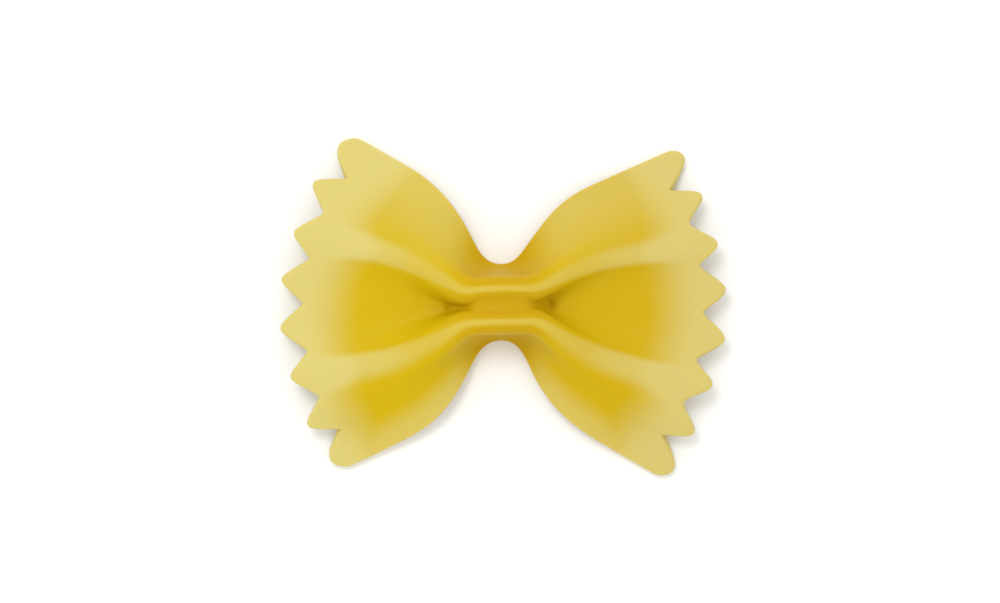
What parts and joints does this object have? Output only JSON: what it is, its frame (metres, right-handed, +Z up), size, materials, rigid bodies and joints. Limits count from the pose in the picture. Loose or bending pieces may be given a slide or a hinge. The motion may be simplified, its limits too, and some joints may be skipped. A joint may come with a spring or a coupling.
{
  "type": "dry farfalle pasta piece",
  "caption": "Dry bow-tie pasta with zigzag ends, pinched across the middle into two ridges with a valley between them.",
  "frame": {"origin": "centre of the bow's footprint, on the surface that it lies on", "axes": "+X from wing to wing, +Y across the pinch, +Z up out of the pinched side"},
  "size_m": [0.0382, 0.029, 0.0067],
  "materials": {
    "dry_pasta": "satin, fine grain"
  },
  "bodies": {
    "root": {"farfalle": "dry_pasta"}
  },
  "joints": []
}
